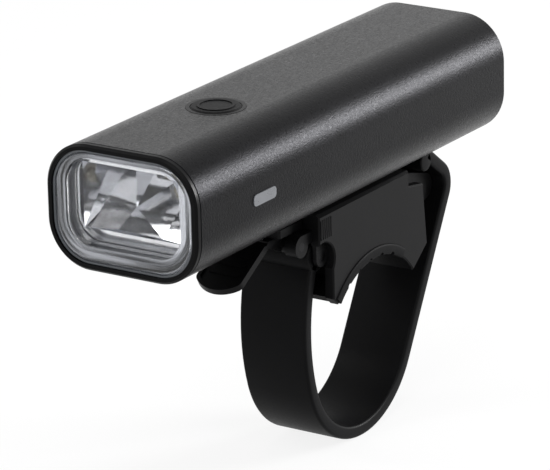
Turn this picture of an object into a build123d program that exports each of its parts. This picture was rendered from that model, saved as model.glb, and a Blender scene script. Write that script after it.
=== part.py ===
"""Bicycle headlight on a quick-release handlebar bracket.

Millimetres. +X runs along the handlebar, the lamp shines towards -Y and +Z is up.
The origin is the centre of the handlebar clamp. Every piece is its own solid, and
each function below returns one piece where it lies in the assembly.
"""
import os
from math import cos, radians, sin, sqrt

from build123d import *

# General fits
overrun = 5.0
slip_gap = 0.1
seat_gap = 0.05
loose_gap = 0.3
run_gap = 0.04

# Handlebar clamp
bar_diameter = 31.8
pad_thickness = 2.0
pad_overhang = 0.3
pad_front_angle = 137.0
pad_rear_angle = 56.0
pad_groove_depth = 0.6
pad_groove_count = 5

# Strap
strap_thickness = 2.4
strap_width = 13.8
strap_front_angle = 198.0
strap_front_radius = 36.0
strap_barrel_z = 20.3
strap_barrel_radius = 3.0
strap_rear_angle = -28.5
strap_rear_run = 31.0
strap_nose_radius = 2.8
strap_nose_angle = 81.5
strap_tail_run = 6.8
strap_bead_radius = 1.9
strap_pin_diameter = 2.0

# Bracket
deck_height = 8.1
deck_thickness = 2.1
deck_front = -18.2
deck_rear = 11.9
bracket_width = 19.2
wall_thickness = 1.8
wall_edge_break = 0.25
channel_stop = 1.8
lamp_gap = 1.0
block_front = -9.8
block_rear = 16.0
shoulder_drop = 3.0
shoulder_y = 16.8
shoulder_radius = 1.6
heel_y = 18.1
heel_z = 13.4
heel_chamfer_y = 15.1
heel_chamfer_z = 11.1
leg_y = -13.8
leg_foot_z = 12.3
leg_bar_gap = 0.4
notch_y = -16.8
notch_z = 20.0
notch_radius = 3.6
pin_boss_radius = 1.8
pin_boss_lap = 0.2
bevel_front = 0.9
bevel_rear = 0.4
bevel_drop = 0.4
grip_rib_count = 6
grip_rib_width = 0.32
grip_rib_pitch = 0.64
grip_rib_height = 0.14
grip_rib_top_gap = 1.0
grip_rib_length = 3.6
arm_width = 8.4
arm_root_y = 12.0
arm_root_rear = 19.0
arm_root_low = 17.0
arm_top_drop = 0.4

# Release lever and its latch
pivot_y = -21.4
pivot_z = 24.0
lever_pin_diameter = 1.6
lug_radius = 2.0
lug_outer = 8.0
lug_thickness = 2.4
lever_hub_radius = 1.6
lever_hub_width = 1.9
lever_width = 9.2
lever_plate_thickness = 0.65
lever_plate_front = -26.9
paddle_length = 12.8
paddle_thickness = 0.95
paddle_angle = 30.0
paddle_end_radius = 6.0
paddle_corner_radius = 1.6
paddle_rim_width = 0.7
paddle_rim_height = 0.3
paddle_rib_count = 3
paddle_rib_pitch = 2.2
paddle_rib_width = 0.7
spring_thickness = 0.4
spring_width = 6.0
spring_rear = -4.0
spring_pocket_depth = 1.1
catch_height = 1.0
catch_gap = 0.3
latch_screw_y = -7.0
latch_screw_diameter = 2.0
latch_screw_length = 4.0
latch_head_diameter = 3.6
latch_head_height = 0.65

# Slide rail under the lamp
rail_front = -25.4
rail_flange_width = 12.0
rail_flange_thickness = 1.5
rail_neck_width = 8.4
rail_neck_height = 2.2
rail_float = 0.2
rail_edge_chamfer = 0.4
rail_screw_inset = 5.5
rail_screw_diameter = 2.0
rail_screw_reach = 2.4
rail_head_diameter = 3.8
rail_head_height = 1.2

# Lamp housing
lamp_width = 30.2
lamp_height = 22.0
lamp_corner_share = 0.2715
lamp_length = 100.5
lamp_overhang = 63.7
housing_wall = 1.6
mouth_wall = 0.55
mouth_depth = 4.0
edge_break = 0.3
floor_rib_width = 8.0
floor_rib_height = 1.2
floor_rib_start = 34.0
post_radius = 2.4
post_length = 7.2
post_corner_gap = 0.3
post_direction = 45.0
ledge_height = 1.0
ledge_depth = 2.3
ledge_gap = 0.9

# Front bezel, lens and gasket
bezel_lip = 1.1
bezel_ring = 1.05
bezel_sleeve = 3.9
bezel_front_chamfer = 0.4
bezel_ledge = 1.65
lens_set_back = 0.45
lens_flange = 1.6
lens_window_margin = 2.3
lens_window_height = 14.9
lens_window_raise = 0.8
lens_window_chamfer = 0.3
lens_skirt = 1.35
lens_skirt_wall = 1.3
gasket_thickness = 0.55
gasket_rim = 0.35

# Reflector, light source and heat sink
reflector_flange = 0.9
bowl_side_gap = 2.25
bowl_top_margin = 4.3
bowl_low_margin = 6.2
bowl_wall = 0.9
bowl_depth = 11.6
bowl_foot_shares = (-1.0, -0.89, -0.42, 0.49, 1.0)
bowl_foot_depths = (0.1, 0.3, 1.5, 1.0, 0.1)
bowl_top_shares = (-1.0, -0.67, -0.01, 0.79, 1.0)
bowl_top_depths = (10.2, 10.8, 9.5, 10.7, 10.2)
bowl_peak_share = -0.27
bowl_peak_rise = 0.28
bowl_peak_depth = 4.7
led_set_back = 8.4
led_window = 5.0
led_board_side_gap = 4.5
led_board_length = 10.4
led_board_thickness = 1.0
led_size = 3.4
led_thickness = 0.5
led_dome_radius = 1.4
bulkhead_gap = 0.15
bulkhead_thickness = 1.8
fin_slot_width = 1.2
fin_slot_depth = 0.9
fin_slot_count = 5
fin_slot_pitch = 3.6

# Driver board, switch and button
board_gap = 0.5
board_length = 17.6
board_side_gap = 2.0
board_thickness = 1.0
board_drop = 6.6
button_set_back = 28.7
button_hole_diameter = 10.5
button_ring_bore = 9.0
button_ring_seat = 1.0
button_ring_flange = 0.85
button_diameter = 8.8
button_flange_diameter = 10.2
button_flange = 0.5
button_proud = 0.25
button_edge_chamfer = 0.25
button_rim_diameter = 6.6
button_rim_width = 0.5
button_rim_height = 0.15
button_plunger_diameter = 3.0
button_plunger = 0.5
button_travel = 0.5
switch_size = 5.0
switch_height = 1.8
switch_stem_diameter = 2.4
indicator_size = 1.6
indicator_height = 0.8
indicator_inset = 1.0

# Side windows
window_set_back = 20.2
window_length = 6.9
window_height = 2.1
window_drop = 0.15
window_corner = 0.8
window_lip = 1.0
window_flange = 0.9
window_edge = 0.15

# Battery pack
cell_front_gap = 0.6
cell_floor_room = 1.65
cell_top_gap = 0.15
cell_nub_diameter = 5.6
cell_nub = 0.3
cell_edge_chamfer = 0.6
cradle_side_gap = 0.9
cradle_cheek_height = 9.0
cradle_wall = 1.2
cradle_rib_count = 4
cradle_plate = 1.0
tab_thickness = 0.3
tab_width = 6.0
tab_height = 9.0

# Charging port and rear cap
cap_thickness = 2.4
cap_set_in = 0.2
cap_gasket_width = 1.0
cap_gasket_length = 1.1
charge_bay_length = 7.4
port_raise = 1.0
port_width = 8.9
port_height = 3.2
port_length = 6.9
port_wall = 0.35
port_tongue = 0.7
port_tongue_width = 6.2
port_opening_gap = 0.3
charge_board_side_gap = 3.5
charge_board_thickness = 1.0
cap_screw_diameter = 2.0
cap_screw_length = 8.0
cap_head_diameter = 3.4
cap_head_height = 1.3

# Port cover
cover_width = 13.6
cover_height = 7.4
cover_thickness = 1.0
cover_corner = 2.2
cover_hinge_radius = 0.8
cover_plug_depth = 1.2
cover_plug_gap = 0.35
cover_tab_width = 3.6
cover_tab_height = 0.5

# Levels and stations that the pieces share
bar_radius = bar_diameter / 2
seat_radius = bar_radius + pad_thickness
strap_mid_radius = bar_radius + strap_thickness / 2
deck_top = seat_radius + deck_height
rail_low = deck_top + rail_float
flange_top = rail_low + rail_flange_thickness
lip_low = flange_top + rail_float
lamp_base = flange_top + rail_neck_height
bracket_top = lamp_base - lamp_gap
lamp_front = -lamp_overhang
lamp_rear = lamp_front + lamp_length
lamp_middle = lamp_base + lamp_height / 2
lamp_corner = lamp_width * lamp_corner_share
housing_front = lamp_front + bezel_lip
cavity_width = lamp_width - 2 * housing_wall
cavity_height = lamp_height - 2 * housing_wall
cavity_corner = lamp_corner - housing_wall
cavity_low = lamp_base + housing_wall
cavity_top = lamp_base + lamp_height - housing_wall
rail_rear = deck_rear - channel_stop - loose_gap
cap_rear = lamp_rear - cap_set_in
cap_front = cap_rear - cap_thickness
reflector_front = lamp_front + lens_set_back + lens_flange + lens_skirt + loose_gap
bulkhead_front = reflector_front + bowl_depth + bowl_wall + bulkhead_gap
bulkhead_rear = bulkhead_front + bulkhead_thickness
board_front = bulkhead_rear + board_gap
board_rear = board_front + board_length
board_top = lamp_base + lamp_height - board_drop
board_width = cavity_width - 2 * board_side_gap
button_y = lamp_front + button_set_back
window_y = lamp_front + window_set_back
port_z = lamp_middle + port_raise
post_reach = cavity_corner - cap_gasket_width - cap_screw_diameter / 2 - post_corner_gap
post_x = lamp_width / 2 - lamp_corner + post_reach * cos(radians(post_direction))
post_z = lamp_base + lamp_corner - post_reach * sin(radians(post_direction))
cell_diameter = cavity_height - cell_top_gap - cell_floor_room
cell_radius = cell_diameter / 2
cell_z = cavity_top - cell_top_gap - cell_radius
cradle_front = board_rear + cell_front_gap
cell_front = cradle_front + cradle_plate + tab_thickness + cell_nub
cell_rear = cap_front - charge_bay_length - cradle_plate - tab_thickness
wall_inner = bracket_width / 2 - wall_thickness


def prism_y(section, front, rear):
    """A section drawn in X and Z, run from the front station to the rear one."""
    plane = Plane(origin=(0, rear, 0), x_dir=(1, 0, 0), z_dir=(0, -1, 0))
    return extrude(plane * section, amount=rear - front, dir=(0, -1, 0))


def prism_x(profile, left, right):
    """A side profile drawn in Y and Z, run from the left station to the right one."""
    return extrude(Plane.YZ.offset(left) * profile, amount=right - left, dir=(1, 0, 0))


def both_sides(piece):
    """A piece and its mirror image across the middle of the lamp."""
    return piece + mirror(piece, Plane.YZ)


def rounded(width, height, corner, middle):
    """A rectangle with round corners, centred across the lamp at the given height."""
    return Pos(0, middle) * RectangleRounded(width, height, corner)


def lamp_outline(inset):
    """The lamp's outer section drawn in by an inset."""
    return rounded(
        lamp_width - 2 * inset, lamp_height - 2 * inset, lamp_corner - inset, lamp_middle
    )


def rod_x(radius, length, y, z):
    """A round bar along X, centred across the lamp."""
    return Pos(0, y, z) * Rot(0, 90, 0) * Cylinder(radius, length)


def rod_y(radius, front, rear, x, z):
    """A round bar along Y."""
    return Pos(x, (front + rear) / 2, z) * Rot(90, 0, 0) * Cylinder(radius, rear - front)


def rod_z(radius, low, high, x, y):
    """A round bar along Z."""
    return Pos(x, y, (low + high) / 2) * Cylinder(radius, high - low)


def box(width, front, rear, low, high):
    """A block centred across the lamp between two stations and two heights."""
    return Pos(0, (front + rear) / 2, (low + high) / 2) * Box(width, rear - front, high - low)


def polar(radius, angle):
    """A point in the side view at a radius and an angle from the clamp's centre."""
    return Vector(radius * cos(radians(angle)), radius * sin(radians(angle)))


def wedge(from_angle, to_angle):
    """A side-view triangle that opens from the clamp's centre between two angles."""
    reach = 2 * seat_radius
    crown = polar(2 * reach, (from_angle + to_angle) / 2)
    return Polygon((0, 0), polar(reach, from_angle), crown, polar(reach, to_angle), align=None)


# Strap: stations along its centre line in the side view
strap_front_centre = polar(strap_front_radius - strap_mid_radius, strap_front_angle) * -1
barrel_rise = (strap_barrel_z - strap_front_centre.Y) / strap_front_radius
barrel_run = sqrt(1 - barrel_rise**2)
barrel_y = strap_front_centre.X - strap_front_radius * barrel_run
nose_mid_radius = strap_nose_radius + strap_thickness / 2
nose_centre = (
    polar(strap_mid_radius - nose_mid_radius, strap_rear_angle)
    + polar(strap_rear_run, strap_rear_angle + 90)
)
tail_angle = strap_rear_angle + strap_nose_angle
tail_start = nose_centre + polar(nose_mid_radius, tail_angle)
tail_end = tail_start + polar(strap_tail_run, tail_angle + 90)
bead_centre = tail_end - polar(strap_bead_radius - strap_thickness / 4, tail_angle)


def strap():
    """Silicone strap: pinned in front, round the bar, and hooked over the rear arm."""
    rear_start = polar(strap_mid_radius, strap_rear_angle)
    rear_end = nose_centre + polar(nose_mid_radius, strap_rear_angle)
    front_start = polar(strap_mid_radius, strap_front_angle)
    barrel = Vector(barrel_y, strap_barrel_z)
    front_mid_angle = (strap_front_angle + 180) / 2
    front_mid = strap_front_centre + polar(strap_front_radius, front_mid_angle)
    around = CenterArc((0, 0), strap_mid_radius, strap_front_angle,
                       360 + strap_rear_angle - strap_front_angle)
    front = ThreePointArc(front_start, front_mid, barrel)
    rear = Line(rear_start, rear_end)
    nose = CenterArc(nose_centre, nose_mid_radius, strap_rear_angle, strap_nose_angle)
    tail = Line(tail_start, tail_end)
    runs = [trace(run, strap_thickness) for run in (front, around, rear, nose, tail)]
    profile = Sketch() + runs
    profile += Pos(barrel) * Circle(strap_barrel_radius)
    profile += Pos(bead_centre) * Circle(strap_bead_radius)
    body = prism_x(profile, -strap_width / 2, strap_width / 2)
    pin_bore = strap_pin_diameter / 2 + run_gap
    return body - rod_x(pin_bore, strap_width + overrun, barrel_y, strap_barrel_z)


def strap_pin():
    """Steel pin that holds the front of the strap between the bracket's two bosses."""
    length = 2 * (wall_inner + pin_boss_lap)
    return rod_x(strap_pin_diameter / 2, length, barrel_y, strap_barrel_z)


def saddle_pad():
    """Rubber pad between the bracket and the bar, with grip grooves along it."""
    ring = Circle(seat_radius) - Circle(bar_radius)
    profile = ring & wedge(pad_rear_angle, pad_front_angle)
    span = pad_front_angle - pad_rear_angle
    for index in range(pad_groove_count):
        angle = pad_rear_angle + span * (index + 1) / (pad_groove_count + 1)
        profile -= Pos(polar(bar_radius, angle)) * Circle(pad_groove_depth)
    half = bracket_width / 2 + pad_overhang
    return prism_x(profile, -half, half)


def wall_profile():
    """Side view of one bracket wall: leg, strap notch, deck, shoulder and heel."""
    outline = Polygon(
        (deck_front, bracket_top),
        (deck_rear, bracket_top),
        (deck_rear, bracket_top - shoulder_drop),
        (shoulder_y, bracket_top - shoulder_drop - shoulder_radius / 2),
        (heel_y, heel_z),
        (heel_chamfer_y, heel_chamfer_z),
        (0, 0),
        (leg_y, leg_foot_z),
        (leg_y, notch_z),
        (deck_front, notch_z),
        align=None,
    )
    return outline - Circle(bar_radius + leg_bar_gap)


def bevel_cut():
    """Tapered wedge that bevels the top edge of the right-hand wall."""
    side = bracket_width / 2
    sections = []
    for station, reach in ((deck_front - overrun, bevel_front), (deck_rear + overrun, bevel_rear)):
        plane = Plane(origin=(0, station, 0), x_dir=(1, 0, 0), z_dir=(0, 1, 0))
        sections.append(plane * Polygon(
            (side - reach, -bracket_top),
            (side - reach, -bracket_top - overrun),
            (side + overrun, -bracket_top - overrun),
            (side + overrun, -bracket_top + bevel_drop),
            (side, -bracket_top + bevel_drop),
            align=None,
        ))
    return loft(sections)


def bracket_body():
    """Moulded bracket: saddle, rail channel, lever lugs, walls and rear hook arm."""
    half = bracket_width / 2
    deck_low = deck_top - deck_thickness
    side = wall_profile()
    notch = Pos(notch_y, notch_z) * Circle(notch_radius)
    wall = prism_x(side - notch, wall_inner, half)
    wall = chamfer(wall.edges().group_by(Axis.X)[-1], wall_edge_break)
    boss = Pos(barrel_y, strap_barrel_z) * Circle(pin_boss_radius)
    boss += Pos(barrel_y, (strap_barrel_z + deck_low) / 2) * Rectangle(
        2 * pin_boss_radius, deck_low - strap_barrel_z)
    wall += prism_x(boss, strap_width / 2 + loose_gap, wall_inner + pin_boss_lap)
    body = both_sides(wall)
    body += box(2 * wall_inner, deck_front, deck_rear, deck_low, deck_top)
    block_middle = Pos((block_front + block_rear) / 2, deck_low / 2)
    block = side & block_middle * Rectangle(block_rear - block_front, deck_low)
    body += prism_x(block, -wall_inner, wall_inner)
    channel_half = rail_flange_width / 2 + rail_float
    rail_side = prism_y(
        Pos(0, (deck_top + bracket_top) / 2)
        * Rectangle(2 * wall_inner, bracket_top - deck_top), deck_front, deck_rear)
    channel = box(2 * channel_half, deck_front - overrun, deck_rear - channel_stop,
                  deck_top, lip_low)
    neck_slot = box(rail_neck_width + 2 * rail_float, deck_front - overrun,
                    deck_rear - channel_stop, deck_top, bracket_top + overrun)
    body += rail_side - channel - neck_slot
    lug = Pos(pivot_y, pivot_z) * Circle(lug_radius)
    lug += Pos((pivot_y + deck_front) / 2, (deck_low + deck_top) / 2) * Rectangle(
        deck_front - pivot_y, deck_thickness)
    body += both_sides(prism_x(lug, lug_outer - lug_thickness, lug_outer))
    root = Pos((arm_root_y + arm_root_rear) / 2, (arm_root_low + deck_top - arm_top_drop) / 2)
    root *= Rectangle(arm_root_rear - arm_root_y, deck_top - arm_top_drop - arm_root_low)
    nose = Pos(nose_centre) * Circle(strap_nose_radius - loose_gap)
    arm = make_hull(root.edges() + nose.edges())
    arm -= Pos(bead_centre) * Circle(strap_bead_radius + loose_gap)
    body += prism_x(arm, -arm_width / 2, arm_width / 2)
    seat = Circle(seat_radius) & wedge(pad_rear_angle, pad_front_angle)
    body -= prism_x(seat, -half - overrun, half + overrun)
    body -= both_sides(bevel_cut())
    for index in range(grip_rib_count):
        rib_y = deck_front + grip_rib_pitch * (index + 1)
        rib_top = bracket_top - grip_rib_top_gap
        rib = Pos(half, rib_y, rib_top - grip_rib_length / 2)
        rib *= Box(2 * grip_rib_height, grip_rib_width, grip_rib_length)
        body += both_sides(rib)
    pocket_low = deck_top - spring_pocket_depth
    body -= box(spring_width + 2 * slip_gap, deck_front - overrun, spring_rear + slip_gap,
                pocket_low, deck_top + rail_float)
    body -= rod_z(latch_screw_diameter / 2, pocket_low - latch_screw_length,
                  deck_top, 0, latch_screw_y)
    pin_bore = strap_pin_diameter / 2
    body -= rod_x(pin_bore, bracket_width, barrel_y, strap_barrel_z)
    lever_bore = lever_pin_diameter / 2
    return body - rod_x(lever_bore, 2 * lug_outer + overrun, pivot_y, pivot_z)


def lever_pin():
    """Steel pivot pin of the release lever, pressed into the bracket's two lugs."""
    return rod_x(lever_pin_diameter / 2, 2 * lug_outer, pivot_y, pivot_z)


def paddle_outline(inset):
    """Plan of the lever's thumb paddle, with a full round end, drawn in by an inset."""
    half = lever_width / 2 - inset
    reach = paddle_length - inset
    end = paddle_end_radius - inset
    shoulder = reach - end + sqrt(end**2 - half**2)
    straight = Pos(0, -shoulder / 2) * Rectangle(2 * half, shoulder)
    cap = Pos(0, -(reach - end)) * Circle(end)
    band = Pos(0, -(shoulder + reach) / 2) * Rectangle(2 * half, reach - shoulder)
    outline = straight + (cap & band)
    corners = outline.vertices().sort_by(Axis.Y)[:2]
    return fillet(corners, paddle_corner_radius - inset)


def release_lever():
    """Thumb lever: two hubs on the pin, a bridge over the latch and a sloping paddle."""
    lug_inner = lug_outer - lug_thickness
    hub_outer = lug_inner - loose_gap
    hub_inner = hub_outer - lever_hub_width
    plate_low = deck_top - lever_plate_thickness
    hub = Pos(pivot_y, pivot_z) * Circle(lever_hub_radius)
    tip = Pos(lever_plate_front, plate_low) * Circle(lever_plate_thickness / 2)
    core = Pos(pivot_y, pivot_z) * Circle(lever_hub_radius - slip_gap)
    arm = make_hull(core.edges() + tip.edges())
    arm += Pos((pivot_y + lever_plate_front) / 2, plate_low + lever_plate_thickness / 2) * (
        Rectangle(pivot_y - lever_plate_front, lever_plate_thickness))
    arm_outer = lever_width / 2
    body = both_sides(prism_x(hub, hub_inner, hub_outer) + prism_x(arm, hub_inner, arm_outer))
    bridge_rear = pivot_y - lever_hub_radius
    body += box(lever_width, lever_plate_front, bridge_rear, plate_low, deck_top)
    slope = radians(paddle_angle)
    root = Plane(
        origin=(0, lever_plate_front + paddle_thickness * sin(slope), deck_top),
        x_dir=(1, 0, 0),
        z_dir=(0, -sin(slope), cos(slope)),
    )
    body += extrude(root * paddle_outline(0), amount=-paddle_thickness)
    rim = paddle_outline(0) - paddle_outline(paddle_rim_width)
    rim &= Pos(0, -paddle_length) * Rectangle(lever_width, 2 * paddle_length - 4 * paddle_rim_width)
    body += extrude(root * rim, amount=paddle_rim_height)
    rib_width = lever_width - 4 * paddle_rim_width
    for index in range(paddle_rib_count):
        rib_place = -paddle_length / 2 - paddle_rib_pitch * (index - (paddle_rib_count - 1) / 2)
        rib = Pos(0, rib_place) * SlotOverall(rib_width, paddle_rib_width)
        body += extrude(root * rib, amount=paddle_rim_height / 2)
    window_front = rail_front - 2 * catch_gap - spring_thickness
    window_rear = rail_front
    body -= box(spring_width + 2 * loose_gap, window_front, window_rear,
                plate_low - overrun, deck_top + overrun)
    return body - rod_x(lever_pin_diameter / 2 + run_gap, 2 * lug_outer, pivot_y, pivot_z)


def latch_spring():
    """Spring-steel strip screwed to the deck, with a catch in front of the rail."""
    strip_low = deck_top - spring_pocket_depth
    catch_rear = rail_front - catch_gap
    catch_front = catch_rear - spring_thickness
    strip = box(spring_width, catch_front, spring_rear, strip_low, strip_low + spring_thickness)
    strip += box(spring_width, catch_front, catch_rear, strip_low, rail_low + catch_height)
    return strip - rod_z(latch_screw_diameter / 2 + slip_gap, strip_low - overrun,
                         strip_low + overrun, 0, latch_screw_y)


def screw_down(diameter, length, head_diameter, head_height, x, y, seat):
    """A screw whose head stands on a seat and whose shank points down."""
    head = rod_z(head_diameter / 2, seat, seat + head_height, x, y)
    return head + rod_z(diameter / 2, seat - length, seat, x, y)


def latch_screw():
    """Flat-head screw that holds the latch spring to the deck."""
    seat = deck_top - spring_pocket_depth + spring_thickness
    return screw_down(latch_screw_diameter, latch_screw_length, latch_head_diameter,
                      latch_head_height, 0, latch_screw_y, seat)


def rail_screw_places():
    """Stations of the two screws that hold the rail to the housing."""
    return rail_front + rail_screw_inset, rail_rear - rail_screw_inset


def mount_rail():
    """T-section slide rail screwed under the lamp."""
    flange = box(rail_flange_width, rail_front, rail_rear, rail_low, flange_top)
    flange = chamfer(flange.edges().filter_by(Axis.Z), rail_edge_chamfer)
    rail = flange + box(rail_neck_width, rail_front, rail_rear, flange_top, lamp_base)
    for place in rail_screw_places():
        rail -= rod_z(rail_screw_diameter / 2 + slip_gap, rail_low, lamp_base, 0, place)
        rail -= rod_z(rail_head_diameter / 2 + slip_gap, rail_low,
                      rail_low + rail_head_height, 0, place)
    return rail


def rail_screws():
    """Two screws up through the rail into the housing's floor rib."""
    screws = Part()
    for place in rail_screw_places():
        seat = rail_low + rail_head_height
        screws += rod_z(rail_head_diameter / 2, rail_low + slip_gap, seat, 0, place)
        screws += rod_z(rail_screw_diameter / 2, seat, lamp_base + rail_screw_reach, 0, place)
    return screws


def side_window_outline(grow):
    """Outline of a side window in Y and Z, grown by a margin."""
    return Pos(window_y, lamp_middle - window_drop) * RectangleRounded(
        window_length + 2 * grow, window_height + 2 * grow, window_corner + grow)


def housing():
    """Extruded aluminium body with button hole, window slots and screw posts."""
    body = prism_y(lamp_outline(0), housing_front, lamp_rear)
    ends = body.edges().group_by(Axis.Y)[0] + body.edges().group_by(Axis.Y)[-1]
    body = chamfer(ends, edge_break)
    cavity = prism_y(lamp_outline(housing_wall), housing_front - overrun, lamp_rear + overrun)
    body -= cavity
    body -= prism_y(lamp_outline(mouth_wall), housing_front - overrun,
                    housing_front + mouth_depth)
    extras = box(floor_rib_width, lamp_front + floor_rib_start, cap_front - slip_gap,
                 cavity_low - housing_wall / 2, cavity_low + floor_rib_height)
    post_rear = cap_front - slip_gap
    ledge_front = window_y + window_length / 2 + window_lip + ledge_gap
    ledge_top = board_top - board_thickness - seat_gap
    for side in (-1, 1):
        extras += rod_y(post_radius, post_rear - post_length, post_rear, side * post_x, post_z)
        ledge_x = side * (cavity_width / 2 - ledge_depth / 2 + slip_gap)
        ledge = Pos(ledge_x, (ledge_front + board_rear) / 2, ledge_top - ledge_height / 2)
        ledge *= Box(ledge_depth + 2 * slip_gap, board_rear - ledge_front, ledge_height)
        extras += ledge
    body += extras
    for side in (-1, 1):
        body -= rod_y(cap_screw_diameter / 2, post_rear - post_length + slip_gap, cap_front,
                      side * post_x, post_z)
    body -= rod_z(button_hole_diameter / 2, lamp_middle, lamp_base + lamp_height + overrun,
                  0, button_y)
    body -= prism_x(side_window_outline(0), -lamp_width, lamp_width)
    for place in rail_screw_places():
        body -= rod_z(rail_screw_diameter / 2, lamp_base - overrun,
                      lamp_base + rail_screw_reach + slip_gap, 0, place)
    return body


gasket_inset = bezel_ring + seat_gap
lens_inset = gasket_inset + gasket_rim + seat_gap
lens_window_inset = lens_inset + lens_window_margin
ledge_inset = bezel_ring + bezel_ledge
lens_rear = lamp_front + lens_set_back + lens_flange
gasket_rear = lens_rear + gasket_thickness


def front_bezel():
    """Black moulded frame that caps the housing and carries the lens."""
    lip = prism_y(lamp_outline(0), lamp_front, housing_front)
    front_edges = lip.edges().group_by(Axis.Y)[0]
    lip = chamfer(front_edges, bezel_front_chamfer)
    frame = lip + prism_y(lamp_outline(mouth_wall + seat_gap), housing_front,
                          housing_front + bezel_sleeve)
    frame -= prism_y(lamp_outline(bezel_ring), lamp_front - overrun, gasket_rear)
    return frame - prism_y(lamp_outline(ledge_inset), lamp_front, lamp_rear)


def lens():
    """Clear lens: flange, raised window and a skirt round the reflector's mouth."""
    flange_front = lamp_front + lens_set_back
    flange = prism_y(lamp_outline(lens_inset), flange_front, lens_rear)
    flange = chamfer(flange.edges().group_by(Axis.Y)[0], lens_window_chamfer)
    outline = rounded(lamp_width - 2 * lens_window_inset, lens_window_height,
                      lamp_corner - lens_window_inset, lamp_middle + lens_window_raise)
    window = prism_y(outline, lamp_front, flange_front)
    window = chamfer(window.edges().group_by(Axis.Y)[0], lens_window_chamfer)
    skirt_inset = ledge_inset + slip_gap
    skirt_rear = lens_rear + lens_skirt
    skirt = prism_y(lamp_outline(skirt_inset), lens_rear, skirt_rear)
    skirt -= prism_y(lamp_outline(skirt_inset + lens_skirt_wall), lens_rear, skirt_rear)
    return flange + window + skirt


def lens_gasket():
    """Silicone seal round the lens flange and between it and the bezel's ledge."""
    ring = lamp_outline(gasket_inset) - lamp_outline(ledge_inset + seat_gap)
    rim = lamp_outline(gasket_inset) - lamp_outline(gasket_inset + gasket_rim)
    seal = prism_y(ring, lens_rear, gasket_rear)
    return seal + prism_y(rim, lamp_front + lens_set_back, lens_rear)


bowl_low = lamp_base + bowl_low_margin
bowl_top = lamp_base + lamp_height - bowl_top_margin
bowl_half = lamp_width / 2 - ledge_inset - bowl_side_gap


def faceted(corners, facets):
    """A solid closed by flat facets, each a row of corner numbers."""
    faces = [Face(Wire.make_polygon([corners[place] for place in facet])) for facet in facets]
    return Solid(Shell(faces))


def bowl():
    """The reflector's hollow: a shallow foot, a deep top and a creased mirror behind."""
    low, high, front = bowl_low, bowl_top, reflector_front
    corners = [(-bowl_half, front, low), (bowl_half, front, low),
               (bowl_half, front, high), (-bowl_half, front, high)]
    for share, depth in zip(bowl_foot_shares, bowl_foot_depths):
        corners.append((bowl_half * share, front + depth, low))
    for share, depth in zip(bowl_top_shares, bowl_top_depths):
        corners.append((bowl_half * share, front + depth, high))
    corners.append((bowl_half * bowl_peak_share, front + bowl_peak_depth,
                    low + (high - low) * bowl_peak_rise))
    return faceted(corners, [
        (0, 3, 2, 1), (0, 1, 8, 7, 6, 5, 4), (3, 9, 10, 11, 12, 13, 2), (0, 4, 9, 3), (1, 2, 13, 8),
        (4, 5, 9), (5, 10, 9), (5, 6, 14), (5, 14, 10), (10, 14, 11), (11, 14, 12),
        (6, 7, 14), (7, 12, 14), (7, 8, 12), (8, 13, 12),
    ])


def reflector():
    """Metallised reflector that folds the light forward from above."""
    front = reflector_front
    outer_foot = front + max(bowl_foot_depths) + 2 * bowl_wall
    outer_depth = front + bowl_depth + bowl_wall
    low = bowl_low - bowl_wall
    high = bowl_top + bowl_wall
    profile = Polygon((front, low), (outer_foot, low), (outer_depth, high - bowl_wall),
                      (outer_depth, high), (front, high), align=None)
    half = bowl_half + bowl_wall
    shell = prism_x(profile, -half, half)
    flange_inset = ledge_inset + 2 * slip_gap
    shell += prism_y(lamp_outline(flange_inset), front, front + reflector_flange)
    shell &= prism_y(lamp_outline(flange_inset), front, bulkhead_front)
    shell -= bowl()
    led_y = lamp_front + led_set_back
    window_low = bowl_top - bowl_wall
    return shell - box(led_window, led_y - led_window / 2, led_y + led_window / 2,
                       window_low, cavity_top)


led_board_low = bowl_top + bowl_wall
led_board_width = cavity_width - 2 * led_board_side_gap
led_board_front = housing_front + bezel_sleeve + loose_gap


def led_board():
    """Metal-core board that lies on the reflector and carries the light source."""
    board = box(led_board_width, led_board_front, led_board_front + led_board_length,
                led_board_low, led_board_low + led_board_thickness)
    return chamfer(board.edges().filter_by(Axis.Z), led_board_thickness / 2)


def led_emitter():
    """Light-emitting diode with a dome, facing down into the reflector."""
    led_y = lamp_front + led_set_back
    low = led_board_low - led_thickness
    package = box(led_size, led_y - led_size / 2, led_y + led_size / 2, low, led_board_low)
    dome = Pos(0, led_y, low) * Sphere(led_dome_radius)
    return package + dome - box(led_size, led_y - led_size, led_y + led_size,
                                led_board_low, led_board_low + led_size)


def heat_sink():
    """Aluminium heat sink: a plate on the board and a slotted bulkhead behind it."""
    plate_low = led_board_low + led_board_thickness
    inside = lamp_outline(housing_wall + seat_gap)
    height = cavity_height - 2 * seat_gap
    width = cavity_width - 2 * (seat_gap + window_flange + loose_gap)
    bulkhead = Pos(0, lamp_middle) * Rectangle(width, height) & inside
    bulkhead = prism_y(bulkhead, bulkhead_front, bulkhead_rear)
    plate = box(led_board_width, led_board_front, bulkhead_rear, plate_low, cavity_top)
    plate &= prism_y(inside, led_board_front, bulkhead_rear)
    for index in range(fin_slot_count):
        place = fin_slot_pitch * (index - (fin_slot_count - 1) / 2)
        slot = Pos(place, bulkhead_rear, lamp_middle) * Box(
            fin_slot_width, 2 * fin_slot_depth, height - cavity_corner)
        bulkhead -= slot
    return plate + bulkhead


def driver_board():
    """Driver circuit board that rests on the housing's two ledges."""
    board = box(board_width, board_front, board_rear, board_top - board_thickness, board_top)
    return fillet(board.edges().filter_by(Axis.Z), board_thickness)


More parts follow.
